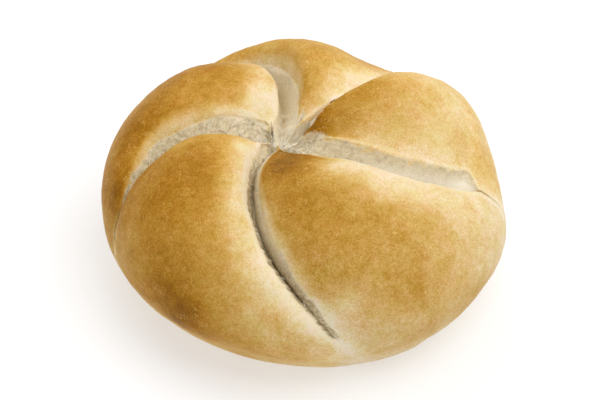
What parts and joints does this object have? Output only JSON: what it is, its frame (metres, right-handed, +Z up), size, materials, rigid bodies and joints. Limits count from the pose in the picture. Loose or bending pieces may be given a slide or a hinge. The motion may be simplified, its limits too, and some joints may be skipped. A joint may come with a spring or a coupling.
{
  "type": "bread roll",
  "caption": "Round Kaiser-style bread roll: a low bun with a flat underside and a domed top cut into pillow-shaped lobes that swirl out from a hub.",
  "frame": {"origin": "middle of the roll's box, on the flat underside that it rests on", "axes": "+Z up out of the domed top; +X along the roll's widest way; -Y towards the side where one cut runs far down between the two front lobes"},
  "size_m": [0.1046, 0.101, 0.0483],
  "materials": {
    "crust": "matte baked crust, golden brown with pale crumb in the cuts"
  },
  "bodies": {
    "root": {"bread_roll": "crust"}
  },
  "joints": []
}
